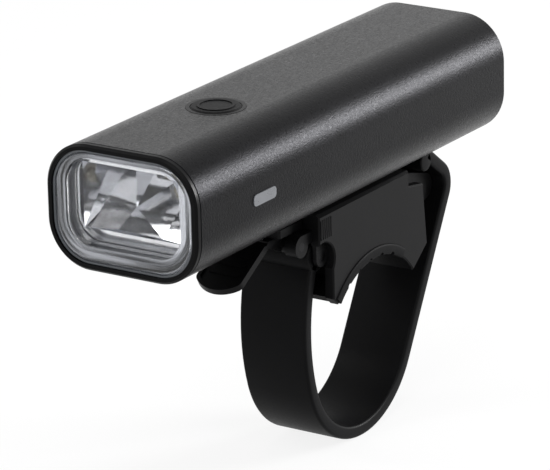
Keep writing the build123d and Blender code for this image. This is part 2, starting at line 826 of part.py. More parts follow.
def power_switch():
    """Push switch soldered under the power button."""
    low = board_top
    body = box(switch_size, button_y - switch_size / 2, button_y + switch_size / 2,
               low, low + switch_height)
    body = chamfer(body.edges().filter_by(Axis.Z), switch_stem_diameter / 4)
    stem_top = button_plunger_low - button_travel - seat_gap
    return body + rod_z(switch_stem_diameter / 2, low + switch_height, stem_top, 0, button_y)


ring_low = cavity_top - seat_gap - button_ring_flange
button_flange_top = ring_low - seat_gap
button_flange_low = button_flange_top - button_flange
button_plunger_low = button_flange_low - button_plunger


def button_ring():
    """Fixed ring that guides the button and seals it to the housing."""
    y = button_y
    top = lamp_base + lamp_height + seat_gap
    ring = rod_z(button_hole_diameter / 2 - seat_gap, cavity_top - seat_gap, top, 0, y)
    ring += rod_z(button_hole_diameter / 2 + button_ring_seat, ring_low,
                  cavity_top - seat_gap, 0, y)
    return ring - rod_z(button_ring_bore / 2, ring_low - overrun, top + overrun, 0, y)


def power_button():
    """Rubber power button with a raised ring on its face and a plunger below."""
    y = button_y
    top = lamp_base + lamp_height + button_proud
    cap = rod_z(button_diameter / 2, button_flange_top, top, 0, y)
    cap = chamfer(cap.edges().group_by(Axis.Z)[-1], button_edge_chamfer)
    cap += rod_z(button_flange_diameter / 2, button_flange_low, button_flange_top, 0, y)
    cap += rod_z(button_plunger_diameter / 2, button_plunger_low, button_flange_low, 0, y)
    rim_outer = button_rim_diameter / 2
    rim = rod_z(rim_outer, top, top + button_rim_height, 0, y)
    rim -= rod_z(rim_outer - button_rim_width, top, top + button_rim_height, 0, y)
    return cap + rim


def side_windows():
    """Two translucent side windows, each with a flange inside the wall."""
    outer = lamp_width / 2 + window_edge
    inner = cavity_width / 2 - seat_gap
    pane = prism_x(side_window_outline(-seat_gap), inner, outer)
    flange = prism_x(side_window_outline(window_lip), inner - window_flange, inner)
    right = pane + flange
    return right + mirror(right, Plane.YZ)


def indicator_leds():
    """Two small indicator diodes under the driver board, beside the windows."""
    top = board_top - board_thickness
    y = window_y + indicator_size
    x = board_width / 2 - indicator_inset - indicator_size / 2
    diode = Pos(x, y, top - indicator_height / 2) * Box(
        indicator_size, indicator_size / 2, indicator_height)
    return diode + mirror(diode, Plane.YZ)


def battery_cell():
    """Cylindrical rechargeable cell with a raised front terminal."""
    cell = rod_y(cell_radius, cell_front, cell_rear, 0, cell_z)
    cell = chamfer(cell.edges(), cell_edge_chamfer)
    return cell + rod_y(cell_nub_diameter / 2, cell_front - cell_nub, cell_front, 0, cell_z)


def battery_cradle():
    """Moulded cradle: two ribbed side cheeks shaped to the cell and two end plates."""
    front = cradle_front + cradle_plate
    rear = cell_rear + tab_thickness
    low = cell_z - cradle_cheek_height / 2
    high = cell_z + cradle_cheek_height / 2
    width = cavity_width - 2 * cradle_side_gap
    band = Pos(0, cell_z) * Rectangle(width, cradle_cheek_height)
    cheek = Pos(0, cell_z) * Circle(cell_radius + slip_gap + cradle_wall) & band
    cradle = prism_y(cheek, front, rear)
    rib_pitch = (rear - front) / (cradle_rib_count + 1)
    for index in range(cradle_rib_count):
        rib_front = front + rib_pitch * (index + 1) - cradle_wall / 2
        cradle += box(width, rib_front, rib_front + cradle_wall, low, high)
    cradle -= rod_y(cell_radius + slip_gap, front - overrun, rear + overrun, 0, cell_z)
    plate_low = cavity_low + floor_rib_height + loose_gap
    plate_width = width - cradle_cheek_height
    inside = lamp_outline(housing_wall + slip_gap)
    for station in (front - cradle_plate, rear):
        plate = box(plate_width, station, station + cradle_plate, plate_low, cavity_top)
        plate &= prism_y(inside, station, station + cradle_plate)
        plate += box(width, station, station + cradle_plate, low, high)
        plate -= rod_y(cell_nub_diameter / 2, station, station + cradle_plate, 0, cell_z)
        cradle += plate
    return cradle


def battery_tabs():
    """Nickel contact tabs between the cell's two ends and the cradle's plates."""
    tabs = Part()
    for station in (cradle_front + cradle_plate, cell_rear):
        strip = Pos(0, cell_z) * RectangleRounded(tab_width, tab_height, tab_width / 4)
        tabs += prism_y(strip, station, station + tab_thickness)
    return tabs


def charge_board():
    """Small circuit board behind the cell that carries the charging socket."""
    front = cell_rear + tab_thickness + cradle_plate
    top = port_z - port_height / 2
    width = cavity_width - 2 * charge_board_side_gap
    return box(width, front, cap_front - slip_gap,
               top - charge_board_thickness, top)


def port_outline(grow):
    """Rounded outline of the charging socket, grown by a margin."""
    height = port_height + 2 * grow
    return rounded(port_width + 2 * grow, height, height / 2 - seat_gap, port_z)


def usb_socket():
    """Charging socket: a metal shell with a tongue."""
    rear = cap_rear - cover_plug_depth - cover_thickness + seat_gap
    front = rear - port_length
    mouth = front + 2 * port_wall
    shell = prism_y(port_outline(0), front, rear)
    shell -= prism_y(port_outline(-port_wall), mouth, rear + overrun)
    tongue = box(port_tongue_width, mouth, rear - 2 * port_wall,
                 port_z - port_tongue / 2, port_z + port_tongue / 2)
    return shell + tongue


cover_low = port_z - cover_height / 2
hinge_y = cap_rear - cover_hinge_radius
hinge_z = cover_low


def cover_outline(grow):
    """Outline of the port cover in X and Z, grown by a margin."""
    return rounded(cover_width + 2 * grow, cover_height + 2 * grow, cover_corner,
                   port_z)


def rear_cap():
    """Rear cap that plugs the housing, with the port's opening and screw seats."""
    plate = prism_y(lamp_outline(housing_wall + seat_gap), cap_front + cap_gasket_length, cap_rear)
    plate += prism_y(lamp_outline(housing_wall + cap_gasket_width), cap_front,
                     cap_front + cap_gasket_length)
    plate -= prism_y(cover_outline(cover_plug_gap), cap_rear - cover_thickness - seat_gap,
                     cap_rear + overrun)
    plate -= prism_y(port_outline(port_opening_gap), cap_front - overrun, cap_rear)
    groove_width = cover_width + 2 * cover_plug_gap
    plate -= rod_x(cover_hinge_radius + seat_gap, groove_width, hinge_y, hinge_z)
    plate -= box(groove_width, hinge_y, cap_rear + overrun,
                 hinge_z - cover_hinge_radius - loose_gap, hinge_z)
    z = post_z
    for side in (-1, 1):
        x = side * post_x
        plate -= rod_y(cap_screw_diameter / 2 + slip_gap, cap_front - overrun, cap_rear, x, z)
        plate -= rod_y(cap_head_diameter / 2 + slip_gap, cap_rear - cap_head_height,
                       cap_rear + overrun, x, z)
    return plate


def rear_gasket():
    """Silicone seal round the rear cap."""
    ring = lamp_outline(housing_wall + seat_gap) - lamp_outline(housing_wall + cap_gasket_width)
    return prism_y(ring, cap_front, cap_front + cap_gasket_length)


def cap_screws():
    """Two screws through the rear cap into the housing's screw posts."""
    screws = Part()
    seat = cap_rear - cap_head_height
    for side in (-1, 1):
        x = side * post_x
        z = post_z
        screws += rod_y(cap_head_diameter / 2, seat, cap_rear - slip_gap, x, z)
        screws += rod_y(cap_screw_diameter / 2, seat - cap_screw_length, seat, x, z)
    return screws


def port_cover():
    """Rubber cover of the charging port, with a plug, a hinge roll and a pull tab."""
    face = prism_y(cover_outline(0), cap_rear - cover_thickness, cap_rear)
    plug = prism_y(port_outline(port_opening_gap - cover_plug_gap),
                   cap_rear - cover_thickness - cover_plug_depth + 2 * seat_gap,
                   cap_rear - cover_thickness)
    roll_width = cover_width - 2 * cover_corner
    roll = rod_x(cover_hinge_radius, roll_width, hinge_y, hinge_z)
    tab_top = cover_low + cover_height - cover_corner / 2
    tab = box(cover_tab_width, cap_rear, cap_rear + cover_tab_height,
              tab_top - cover_corner / 2, tab_top)
    return face + plug + roll + tab


pieces = {
    "housing": housing,
    "front_bezel": front_bezel,
    "lens": lens,
    "lens_gasket": lens_gasket,
    "reflector": reflector,
    "led_board": led_board,
    "led_emitter": led_emitter,
    "heat_sink": heat_sink,
    "driver_board": driver_board,
    "power_switch": power_switch,
    "button_ring": button_ring,
    "power_button": power_button,
    "side_windows": side_windows,
    "indicator_leds": indicator_leds,
    "battery_cell": battery_cell,
    "battery_cradle": battery_cradle,
    "battery_tabs": battery_tabs,
    "charge_board": charge_board,
    "usb_socket": usb_socket,
    "rear_cap": rear_cap,
    "rear_gasket": rear_gasket,
    "cap_screws": cap_screws,
    "port_cover": port_cover,
    "mount_rail": mount_rail,
    "rail_screws": rail_screws,
    "bracket_body": bracket_body,
    "saddle_pad": saddle_pad,
    "release_lever": release_lever,
    "lever_pin": lever_pin,
    "latch_spring": latch_spring,
    "latch_screw": latch_screw,
    "strap": strap,
    "strap_pin": strap_pin,
}

os.makedirs("parts", exist_ok=True)
for node, make in pieces.items():
    export_step(make(), f"parts/{node}.step")
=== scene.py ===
"""Looks of the bicycle headlight on its quick-release bracket.

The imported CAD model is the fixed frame. Lengths in this file are metres unless a name
says otherwise. +X runs along the clamp's axis, -Y the way the lamp shines and +Z up.
"""
from math import asin, cos, degrees, pi, radians, sin, sqrt

import bpy
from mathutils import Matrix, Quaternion, Vector


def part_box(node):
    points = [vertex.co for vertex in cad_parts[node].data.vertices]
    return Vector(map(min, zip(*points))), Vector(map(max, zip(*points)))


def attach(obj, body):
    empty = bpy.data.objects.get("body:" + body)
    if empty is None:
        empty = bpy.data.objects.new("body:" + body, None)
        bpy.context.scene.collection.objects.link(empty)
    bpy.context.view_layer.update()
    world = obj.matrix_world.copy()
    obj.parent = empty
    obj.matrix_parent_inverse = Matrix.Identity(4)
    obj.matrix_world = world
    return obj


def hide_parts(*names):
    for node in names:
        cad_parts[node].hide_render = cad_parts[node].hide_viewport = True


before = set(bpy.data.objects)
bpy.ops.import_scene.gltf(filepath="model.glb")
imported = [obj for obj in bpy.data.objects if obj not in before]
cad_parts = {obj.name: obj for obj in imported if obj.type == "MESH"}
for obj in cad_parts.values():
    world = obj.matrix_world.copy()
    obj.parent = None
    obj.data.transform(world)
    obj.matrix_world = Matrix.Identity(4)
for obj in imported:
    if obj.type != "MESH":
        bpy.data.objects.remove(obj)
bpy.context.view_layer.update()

bl_info = {
    "name": "Bicycle Headlight",
    "version": (1, 0, 0),
    "blender": (4, 5, 0),
    "location": "View3D > Sidebar > Headlight",
    "description": "Finishes and soft pieces of a bicycle headlight on its bracket",
    "category": "Object",
}

MM = 0.001
WHITE = (1.0, 1.0, 1.0, 1.0)
# Faces that meet at less than this many degrees are shaded as one smooth surface.
SMOOTH_ANGLE = 35.0
# The middle of the object, which the softboxes and cards face, in metres.
OBJECT_MIDDLE = Vector((0.0, -0.01, 0.02))


def linear(code):
    """Turns a colour written as sRGB hex into linear RGBA, by the sRGB standard's curve."""
    parts = [int(code[place:place + 2], 16) / 255 for place in (1, 3, 5)]
    return tuple(
        part / 12.92 if part <= 0.04045 else ((part + 0.055) / 1.055) ** 2.4 for part in parts
    ) + (1.0,)


def colour_setting(name, description, code):
    """A colour that a user can change."""
    return bpy.props.FloatVectorProperty(
        name=name, description=description, default=linear(code), size=4,
        subtype="COLOR", min=0.0, max=1.0)


def length_setting(name, description, millimetres):
    """A length that a user can change."""
    return bpy.props.FloatProperty(
        name=name, description=description, default=millimetres * MM,
        subtype="DISTANCE", unit="LENGTH", precision=5)


class HeadlightSizes(bpy.types.PropertyGroup):
    clamp_radius: length_setting("Clamp radius", "Inner radius of the clamp", 15.9)
    strap_width: length_setting("Strap width", "Width of the silicone strap", 13.8)
    strap_thickness: length_setting("Strap thickness", "Thickness of the strap's band", 2.4)
    strap_edge: length_setting("Strap edge", "Rounding along the strap's edges", 0.55)
    strap_run: length_setting("Strap run", "Straight length from the clamp to the nose", 31.0)
    strap_nose: length_setting("Strap nose", "Inner radius of the strap's nose", 2.8)
    strap_tail: length_setting("Strap tail", "Straight length behind the strap's nose", 6.8)
    pad_width: length_setting("Pad width", "Width of the saddle pad along the clamp", 19.8)
    pad_thickness: length_setting("Pad thickness", "Thickness of the saddle pad", 2.0)
    pad_groove: length_setting("Pad groove", "Depth of the grip grooves in the pad", 0.6)


class HeadlightColours(bpy.types.PropertyGroup):
    anodised: colour_setting("Anodised black", "Black dye of the housing", "#101012")
    bezel: colour_setting("Bezel black", "Plastic of the bezel and rear cap", "#040405")
    nylon: colour_setting("Nylon black", "Nylon of the bracket, rail and lever", "#0b0b0c")
    silicone: colour_setting("Silicone black", "Silicone of the strap", "#0c0c0d")
    rubber: colour_setting("Rubber black", "Rubber of pad, button and port cover", "#080809")
    # The side windows' grey is painted shade: the milky plastic itself is paler.
    milky_in_shade: colour_setting("Milky window in painted shade", "Diffusing plastic of the side windows", "#5f6165")
    floor: colour_setting("Floor", "Studio floor", "#fafafa")


class HeadlightStudio(bpy.types.PropertyGroup):
    focal_length: bpy.props.FloatProperty(
        name="Focal length", description="Camera lens", default=265.9, unit="CAMERA")
    azimuth: bpy.props.FloatProperty(
        name="Azimuth", description="Camera direction round the object",
        default=radians(33.3), subtype="ANGLE", unit="ROTATION")
    elevation: bpy.props.FloatProperty(
        name="Elevation", description="Camera height above the horizon",
        default=radians(18.64), subtype="ANGLE", unit="ROTATION")
    roll: bpy.props.FloatProperty(
        name="Roll", description="Camera turn about its own axis",
        default=radians(-1.21), subtype="ANGLE", unit="ROTATION")
    fill: bpy.props.FloatProperty(
        name="Fill light", description="Strength of the room's even light", default=0.4, min=0.0)


# Materials


def add_node(tree, kind, inputs=None, **settings):
    """Adds a node, sets its properties, and sets or links its inputs."""
    node = tree.nodes.new(kind)
    for name, value in settings.items():
        setattr(node, name, value)
    for socket, value in (inputs or {}).items():
        if isinstance(value, bpy.types.NodeSocket):
            tree.links.new(value, node.inputs[socket])
        else:
            node.inputs[socket].default_value = value
    return node


def blank_material(name):
    """Makes a material whose node tree is empty."""
    material = bpy.data.materials.new(name)
    material.use_nodes = True
    material.node_tree.nodes.clear()
    return material


def seen_ray(tree):
    """Gives 1 to rays that come straight from the camera, a mirror or glass, else 0."""
    path = add_node(tree, "ShaderNodeLightPath").outputs
    seen = add_node(tree, "ShaderNodeMath",
                    {0: path["Is Camera Ray"], 1: path["Is Glossy Ray"]},
                    operation="MAXIMUM")
    seen = add_node(tree, "ShaderNodeMath",
                    {0: seen.outputs[0], 1: path["Is Transmission Ray"]},
                    operation="MAXIMUM")
    return seen.outputs[0]


def shaded(colour, factor):
    """A colour made darker or lighter by a factor."""
    return tuple(min(part * factor, 1.0) for part in colour[:3]) + (1.0,)


def textured(name, colour, grain, relief, roughness, mottle=0.12, polish=0.05, **shader):
    """Makes a material whose colour, gloss and relief vary with its own grain.

    grain is the size of one grain and relief its height, both in metres. A grain that is
    too fine to show is drawn at 0.15 to 0.5 mm. mottle is how far the colour varies and
    polish how far the roughness does.
    """
    material = blank_material(name)
    tree = material.node_tree
    place = add_node(tree, "ShaderNodeTexCoord").outputs["Object"]
    # Fine noise has the grain's own size, and broad noise is 25 grains wide.
    fine = add_node(tree, "ShaderNodeTexNoise",
                    {"Vector": place, "Scale": 1 / grain, "Detail": 4.0, "Roughness": 0.6})
    broad = add_node(tree, "ShaderNodeTexNoise",
                     {"Vector": place, "Scale": 0.04 / grain, "Detail": 3.0})
    blend = add_node(tree, "ShaderNodeMath",
                     {0: fine.outputs[0], 1: broad.outputs[0]}, operation="MULTIPLY")
    # Most values of the two noises' product lie between 0.12 and 0.4.
    tone = add_node(tree, "ShaderNodeMapRange",
                    {"Value": blend.outputs[0], "From Min": 0.12, "From Max": 0.4})
    base = add_node(tree, "ShaderNodeMix",
                    {"Factor": tone.outputs[0], 6: shaded(colour, 1 - mottle),
                     7: shaded(colour, 1 + mottle)}, data_type="RGBA")
    gloss = add_node(tree, "ShaderNodeMapRange",
                     {"Value": fine.outputs[0], "From Min": 0.3, "From Max": 0.7,
                      "To Min": roughness - polish, "To Max": roughness + polish})
    bump = add_node(tree, "ShaderNodeBump",
                    {"Height": fine.outputs[0], "Distance": relief, "Strength": 1.0})
    values = {"Base Color": base.outputs[2], "Roughness": gloss.outputs[0],
              "Normal": bump.outputs[0]}
    values.update(shader)
    surface = add_node(tree, "ShaderNodeBsdfPrincipled", values)
    add_node(tree, "ShaderNodeOutputMaterial", {"Surface": surface.outputs[0]})
    return material


def dress(material, *nodes):
    """Gives CAD nodes a material."""
    for node in nodes:
        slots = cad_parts[node].data.materials
        slots.clear()
        slots.append(material)


# Modelling


def deselect_all():
    """Leaves nothing selected before a new piece is started."""
    bpy.ops.object.select_all(action="DESELECT")


def side_point(radius, angle):
    """A point in the side view, at a radius and an angle in degrees from +Y towards +Z."""
    turn = radians(angle)
    return Vector((0.0, radius * cos(turn), radius * sin(turn)))


def start_section(name, width, thickness, corner, place, angle):
    """Adds a flat round-cornered section that lies across a band at an angle in degrees.

    It leaves the section's edge loop selected in edit mode, ready to be swept.
    """
    deselect_all()
    bpy.ops.mesh.primitive_plane_add(size=1.0)
    piece = bpy.context.object
    piece.name = name
    piece.scale = (width, thickness, 1.0)
    piece.rotation_euler = (radians(angle), 0.0, 0.0)
    piece.location = place
    bpy.ops.object.transform_apply(location=True, rotation=True, scale=True)
    bpy.ops.object.mode_set(mode="EDIT")
    bpy.ops.mesh.select_all(action="SELECT")
    # A profile of 0.5 is a quarter circle.
    bpy.ops.mesh.bevel(offset=corner, segments=4, profile=0.5, affect="VERTICES")
    bpy.ops.mesh.delete(type="ONLY_FACE")
    bpy.ops.mesh.select_all(action="SELECT")
    return piece


def sweep_turn(centre, turn, steps):
    """Spins the selected loop by some degrees about an axis along X through a point."""
    bpy.ops.mesh.spin(steps=steps, angle=-radians(turn), center=centre, axis=(1, 0, 0))


def sweep_run(run, steps):
    """Extrudes the selected loop along a straight run in equal steps."""
    for _ in range(steps):
        bpy.ops.mesh.extrude_edges_move(TRANSFORM_OT_translate={"value": run / steps})


def close_shell():
    """Caps the open ends, turns the faces outwards and leaves edit mode."""
    bpy.ops.mesh.select_all(action="SELECT")
    bpy.ops.mesh.remove_doubles(threshold=0.001 * MM)
    # sides=0 caps holes with any number of sides.
    bpy.ops.mesh.fill_holes(sides=0)
    bpy.ops.mesh.select_all(action="SELECT")
    bpy.ops.mesh.normals_make_consistent(inside=False)
    bpy.ops.object.mode_set(mode="OBJECT")


def soften(piece, width, segments):
    """Rounds a piece's sharp edges and smooths its faces."""
    bevel = piece.modifiers.new("Rounding", "BEVEL")
    bevel.width = width
    bevel.segments = segments
    bevel.limit_method = "ANGLE"
    bevel.angle_limit = radians(SMOOTH_ANGLE)
    bpy.context.view_layer.objects.active = piece
    bpy.ops.object.modifier_apply(modifier=bevel.name)
    smooth(piece)


def smooth(piece):
    """Smooths the faces that meet at a small angle."""
    deselect_all()
    piece.select_set(True)
    bpy.context.view_layer.objects.active = piece
    bpy.ops.object.shade_smooth_by_angle(angle=radians(SMOOTH_ANGLE))


def rod_across(name, radius, length, y, z, sides=48):
    """Adds a round bar along X."""
    deselect_all()
    bpy.ops.mesh.primitive_cylinder_add(
        vertices=sides, radius=radius, depth=length, location=(0.0, y, z),
        rotation=(0.0, pi / 2, 0.0))
    piece = bpy.context.object
    piece.name = name
    bpy.ops.object.transform_apply(location=True, rotation=True, scale=True)
    return piece


def join(main, *others):
    """Joins pieces into the first one."""
    deselect_all()
    for piece in (*others, main):
        piece.select_set(True)
    bpy.context.view_layer.objects.active = main
    bpy.ops.object.join()
    return main


def cut_away(piece, cutter):
    """Cuts one closed shape out of a piece."""
    cut = piece.modifiers.new("Cut", "BOOLEAN")
    cut.operation = "DIFFERENCE"
    cut.object = cutter
    deselect_all()
    bpy.context.view_layer.objects.active = piece
    bpy.ops.object.modifier_apply(modifier=cut.name)
    cutter.select_set(True)
    bpy.ops.object.delete()


def finish_piece(piece, material, body, node):
    """Gives a new piece its material and body, and hides the CAD node it stands for."""
    piece.data.materials.clear()
    piece.data.materials.append(material)
    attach(piece, body)
    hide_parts(node)


# Operators


class HEADLIGHT_OT_stage(bpy.types.Operator):
    """Sets up the camera, the floor, the room, the softboxes and the cards"""
    bl_idname = "headlight.stage"
    bl_label = "Stage"

    # Where the fitted camera stands, in metres.
    camera_place = (0.3698, -0.5806, 0.2510)
    # Share of plain white in what the camera, mirrors and glass see of the floor.
    floor_white = 0.85
    # Name, place and size in metres, and watts. The last two are small and give the
    # mirror behind the lens its glints.
    softboxes = (
        ("Rear softbox", (0.60, 0.75, 0.26), (0.36, 0.26), 12.2),
        ("Overhead softbox", (0.05, -0.20, 0.80), (0.60, 0.60), 2.4),
        ("Front softbox", (0.10, -0.80, 0.45), (0.40, 0.40), 1.6),
        ("Right softbox", (0.49, -0.24, 0.44), (0.20, 0.24), 0.4),
        ("Left softbox", (-0.53, -0.28, 0.44), (0.22, 0.25), 0.8),
    )
    # Name, place and size in metres, and colour. They give the mirror its darker facets.
    cards = (
        ("Grey card", (-0.264, -0.714, 1.013), (0.55, 0.40), "#8c8c8e"),
        ("Black flag", (-0.38, -1.00, 0.678), (0.55, 0.30), "#060607"),
    )

    def execute(self, context):
        studio = context.scene.headlight_studio
        view = context.scene.view_settings
        view.view_transform = "Standard"
        self.camera(context, studio)
        self.floor(context)
        self.room(context, studio)
        for softbox in self.softboxes:
            self.softbox(*softbox)
        for card in self.cards:
            self.card(*card)
        return {"FINISHED"}

    def camera(self, context, studio):
        """Stands the camera where the picture was taken from."""
        turn, rise = studio.azimuth, studio.elevation
        back = Vector((sin(turn) * cos(rise), -cos(turn) * cos(rise), sin(rise)))
        bpy.ops.object.camera_add(location=self.camera_place)
        camera = context.object
        camera.rotation_mode = "QUATERNION"
        camera.rotation_quaternion = (
            back.to_track_quat("Z", "Y") @ Quaternion((0.0, 0.0, 1.0), studio.roll))
        camera.data.lens = studio.focal_length
        camera.data.sensor_width = 36.0
        camera.data.clip_start = 0.01
        camera.data.clip_end = 20.0
        context.scene.camera = camera

    def floor(self, context):
        """Lays a plain pale floor under the strap that keeps the object's shadow."""
        colour = context.scene.headlight_colours.floor
        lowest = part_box("strap")[0].z
        deselect_all()
        bpy.ops.mesh.primitive_plane_add(size=6.0, location=(0.0, 0.0, lowest))
        floor = context.object
        floor.name = "studio_floor"
        material = blank_material("Matt painted studio floor")
        tree = material.node_tree
        # Matt paint scatters evenly; most of what the camera sees is plain white, and
        # the rest keeps the soft shadow.
        paint = add_node(tree, "ShaderNodeBsdfDiffuse", {"Color": tuple(colour)})
        white = add_node(tree, "ShaderNodeEmission", {"Color": WHITE, "Strength": 1.0})
        share = add_node(tree, "ShaderNodeMath", {0: seen_ray(tree), 1: self.floor_white},
                         operation="MULTIPLY")
        mix = add_node(tree, "ShaderNodeMixShader",
                       {0: share.outputs[0], 1: paint.outputs[0], 2: white.outputs[0]})
        add_node(tree, "ShaderNodeOutputMaterial", {"Surface": mix.outputs[0]})
        floor.data.materials.append(material)

    def room(self, context, studio):
        """Fills the room with even light and keeps the background white."""
        world = bpy.data.worlds.new("Studio room")
        context.scene.world = world
        world.use_nodes = True
        tree = world.node_tree
        tree.nodes.clear()
        dim = add_node(tree, "ShaderNodeBackground",
                       {"Color": WHITE, "Strength": studio.fill})
        white = add_node(tree, "ShaderNodeBackground", {"Color": WHITE, "Strength": 1.0})
        mix = add_node(tree, "ShaderNodeMixShader",
                       {0: seen_ray(tree), 1: dim.outputs[0], 2: white.outputs[0]})
        add_node(tree, "ShaderNodeOutputWorld", {"Surface": mix.outputs[0]})

    def face_middle(self, item, place):
        """Turns a softbox or card towards the object's middle."""
        back = Vector(place) - OBJECT_MIDDLE
        item.rotation_mode = "QUATERNION"
        item.rotation_quaternion = back.to_track_quat("Z", "Y")

    def softbox(self, name, place, size, watts):
        """Hangs a rectangular softbox that faces the object's middle."""
        bpy.ops.object.light_add(type="AREA", location=place)
        lamp = bpy.context.object
        lamp.name = name
        lamp.data.shape = "RECTANGLE"
        lamp.data.size, lamp.data.size_y = size
        lamp.data.energy = watts
        self.face_middle(lamp, place)

    def card(self, name, place, size, code):
        """Hangs a matt paper card, well outside the picture, for the mirror to show."""
        deselect_all()
        bpy.ops.mesh.primitive_plane_add(size=1.0, location=place)
        card = bpy.context.object
        card.name = name
        card.scale = (size[0], size[1], 1.0)
        self.face_middle(card, place)
        material = blank_material("Matt paper card, " + name.lower())
        tree = material.node_tree
        paper = add_node(tree, "ShaderNodeBsdfDiffuse", {"Color": linear(code)})
        add_node(tree, "ShaderNodeOutputMaterial", {"Surface": paper.outputs[0]})
        card.data.materials.append(material)


class HEADLIGHT_OT_housing(bpy.types.Operator):
    """Finishes the housing, the front bezel and the rear cap"""
    bl_idname = "headlight.housing"
    bl_label = "Housing"

    def execute(self, context):
        colours = context.scene.headlight_colours
        # Aluminium, bead blasted and black anodised: satin, with the sparkle of fine
        # blast pits. Real pits are about 0.05 mm; they are drawn at 0.38 mm to show.
        dress(textured("Black anodised bead-blasted aluminium", colours.anodised,
                       0.38 * MM, 0.046 * MM, 0.34, mottle=0.25, polish=0.1,
                       Metallic=1.0), "housing")
        # ABS and polycarbonate blend, moulded in a lightly etched tool: even black
        # with a low sheen.
        dress(textured("Moulded black ABS", colours.bezel, 0.35 * MM, 0.004 * MM, 0.36,
                       mottle=0.08, IOR=1.52, **{"Specular IOR Level": 0.08}),
              "front_bezel", "rear_cap")
        return {"FINISHED"}


class HEADLIGHT_OT_optics(bpy.types.Operator):
    """Finishes the lens, the reflector, the light source and their seal"""
    bl_idname = "headlight.optics"
    bl_label = "Optics"

    def execute(self, context):
        dress(self.lens_plastic(), "lens")
        # Plastic metallised with aluminium in vacuum: a mirror with slight waviness.
        dress(textured("Vacuum metallised aluminium", linear("#dcdde0"), 1.6 * MM,
                       0.010 * MM, 0.07, mottle=0.08, polish=0.03, Metallic=1.0), "reflector")
        # Silicone rubber seal, lightly filled: even mid grey behind the rim.
        dress(textured("Grey moulded silicone seal", linear("#55585c"), 0.4 * MM,
                       0.006 * MM, 0.35, mottle=0.04, IOR=1.43), "lens_gasket")
        # Silicone rubber seal with black filler: dull.
        dress(textured("Black moulded silicone seal", linear("#0c0c0d"), 0.4 * MM,
                       0.01 * MM, 0.55, **{"Specular IOR Level": 0.3}), "rear_gasket")
        # White solder mask on an aluminium board: matt and chalky.
        dress(textured("Printed white solder mask", linear("#e8e8e4"), 0.3 * MM, 0.004 * MM, 0.5,
                       mottle=0.03), "led_board")
        # Phosphor in silicone gel: pale yellow under a glossy dome.
        dress(textured("Phosphor under silicone dome", linear("#bbb49e"), 0.2 * MM,
                       0.002 * MM, 0.2, mottle=0.1,
                       **{"Coat Weight": 1.0, "Coat Roughness": 0.04}), "led_emitter")
        # Extruded aluminium, plain: bright with a fine grain.
        dress(textured("Plain extruded aluminium", linear("#c4c6c9"), 0.4 * MM,
                       0.01 * MM, 0.32, mottle=0.08, Metallic=1.0), "heat_sink")
        return {"FINISHED"}

    def lens_plastic(self):
        """Polycarbonate, moulded: clear and glossy in its raised window.

        The rim round the window is left finely etched and carries light along itself,
        so it looks hazy, with streaks that follow the lens's outline.
        """
        # The raised window is 22.6 by 14.9 mm: its middle's height, its corners' radius
        # and half the length of its straight sides.
        window_z, corner = 41.7 * MM, 4.4 * MM
        straight = (6.9 * MM, 0.0, 3.05 * MM)
        rim_fade = 0.3 * MM
        rim_haze, skirt_haze = 0.6, 0.9
        skirt_front, skirt_back = -61.4 * MM, -61.0 * MM
        # Noise cells a metre, along the rim and across it, where one is 0.8 mm wide.
        along, across = 60.0, 1 / (0.8 * MM)
        window_alpha = 0.04
        ripple_width, ripple_height = 3.0 * MM, 0.002 * MM

        material = blank_material("Clear moulded polycarbonate")
        tree = material.node_tree
        place = add_node(tree, "ShaderNodeTexCoord").outputs["Object"]
        # How far a point lies outside the rectangle between the middles of its corners.
        offset = add_node(tree, "ShaderNodeVectorMath",
                          {0: place, 1: (0.0, 0.0, window_z)}, operation="SUBTRACT")
        flat = add_node(tree, "ShaderNodeVectorMath",
                        {0: offset.outputs[0], 1: (1.0, 0.0, 1.0)}, operation="MULTIPLY")
        size = add_node(tree, "ShaderNodeVectorMath", {0: flat.outputs[0]},
                        operation="ABSOLUTE")
        beyond = add_node(tree, "ShaderNodeVectorMath",
                          {0: size.outputs[0], 1: straight}, operation="SUBTRACT")
        beyond = add_node(tree, "ShaderNodeVectorMath",
                          {0: beyond.outputs[0], 1: (0.0, 0.0, 0.0)}, operation="MAXIMUM")
        away = add_node(tree, "ShaderNodeVectorMath", {0: beyond.outputs[0]},
                        operation="LENGTH")
        rim = add_node(tree, "ShaderNodeMapRange",
                       {"Value": away.outputs["Value"], "From Min": corner,
                        "From Max": corner + rim_fade})
        # Streaks run round the rim.
        stretched = add_node(tree, "ShaderNodeVectorMath",
                             {0: place, 1: (along, 0.0, along)}, operation="MULTIPLY")
        split = add_node(tree, "ShaderNodeSeparateXYZ", {0: stretched.outputs[0]})
        ring = add_node(tree, "ShaderNodeMath",
                        {0: away.outputs["Value"], 1: across}, operation="MULTIPLY")
        track = add_node(tree, "ShaderNodeCombineXYZ",
                         {0: split.outputs[0], 1: ring.outputs[0], 2: split.outputs[2]})
        streak = add_node(tree, "ShaderNodeTexNoise",
                          {"Vector": track.outputs[0], "Scale": 1.0, "Detail": 3.0})
        haze = add_node(tree, "ShaderNodeMapRange",
                        {"Value": streak.outputs[0], "From Min": 0.35, "From Max": 0.65,
                         "To Max": rim_haze})
        # The skirt behind the rim is etched all over.
        depth = add_node(tree, "ShaderNodeSeparateXYZ", {0: place})
        skirt = add_node(tree, "ShaderNodeMapRange",
                         {"Value": depth.outputs[1], "From Min": skirt_front,
                          "From Max": skirt_back, "To Max": skirt_haze})
        haze = add_node(tree, "ShaderNodeMath", {0: haze.outputs[0], 1: skirt.outputs[0]},
                        operation="MAXIMUM")
        haze = add_node(tree, "ShaderNodeMath", {0: haze.outputs[0], 1: rim.outputs[0]},
                        operation="MULTIPLY")
        clear = add_node(tree, "ShaderNodeMath", {0: 1.0, 1: haze.outputs[0]},
                         operation="SUBTRACT")
